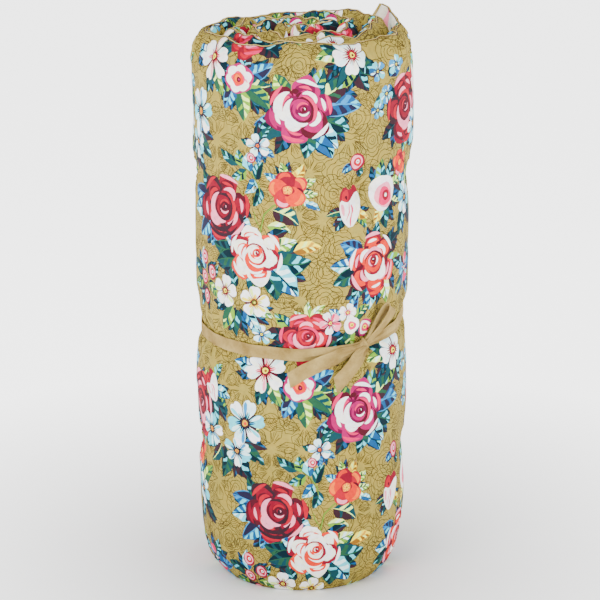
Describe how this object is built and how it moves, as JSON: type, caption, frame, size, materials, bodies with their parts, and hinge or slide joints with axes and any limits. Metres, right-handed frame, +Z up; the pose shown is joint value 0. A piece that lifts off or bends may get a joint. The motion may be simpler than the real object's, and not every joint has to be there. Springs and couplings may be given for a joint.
{
  "type": "rolled kneeling mat",
  "caption": "Wadded cotton kneeling mat rolled up and standing on end, tied round the middle with a cotton tape in a half bow.",
  "frame": {"origin": "centre of the bounding box at floor level, under the standing roll", "axes": "+Z up along the roll's axis, -Y the side with the bow, which sits a little towards +X"},
  "size_m": [0.2308, 0.229, 0.613],
  "materials": {
    "print_cotton": "matte printed cotton with a floral pattern on a khaki ground",
    "seam_cotton": "matte cotton seam with stitching",
    "tie_cotton": "matte plain woven cotton tape",
    "wadding": "soft off-white polyester wadding",
    "thread": "twisted cotton thread"
  },
  "bodies": {
    "pad": {"wadding_core": "wadding", "outer_cover": "print_cotton", "inner_cover": "print_cotton", "top_seam_welt": "seam_cotton", "bottom_seam_welt": "seam_cotton", "outer_end_seam": "seam_cotton", "inner_end_seam": "seam_cotton", "tuft_low_1": "thread", "tuft_low_2": "thread", "tuft_low_3": "thread", "tuft_low_4": "thread", "tuft_low_5": "thread", "tuft_low_6": "thread", "tuft_high_1": "thread", "tuft_high_2": "thread", "tuft_high_3": "thread", "tuft_high_4": "thread", "tuft_high_5": "thread", "tuft_high_6": "thread", "tie_band": "tie_cotton", "tie_knot": "tie_cotton"},
    "tail_long": {"tie_tail_long": "tie_cotton"},
    "tail_short": {"tie_tail_short": "tie_cotton"},
    "loop": {"tie_loop": "tie_cotton"}
  },
  "joints": [
    {"name": "tail_long_lift", "type": "hinge", "parent": "pad", "child": "tail_long", "pos_m": [0.06099, -0.09632, 0.279], "axis": [0, 0, 1], "range_deg": [0, 25]},
    {"name": "tail_short_lift", "type": "hinge", "parent": "pad", "child": "tail_short", "pos_m": [0.06743, -0.09459, 0.2708], "axis": [-0.8166, -0.5772, 0], "range_deg": [0, 70]},
    {"name": "loop_lift", "type": "hinge", "parent": "pad", "child": "loop", "pos_m": [0.07259, -0.08951, 0.2892], "axis": [0.78, 0.6258, 0], "range_deg": [0, 60]}
  ]
}
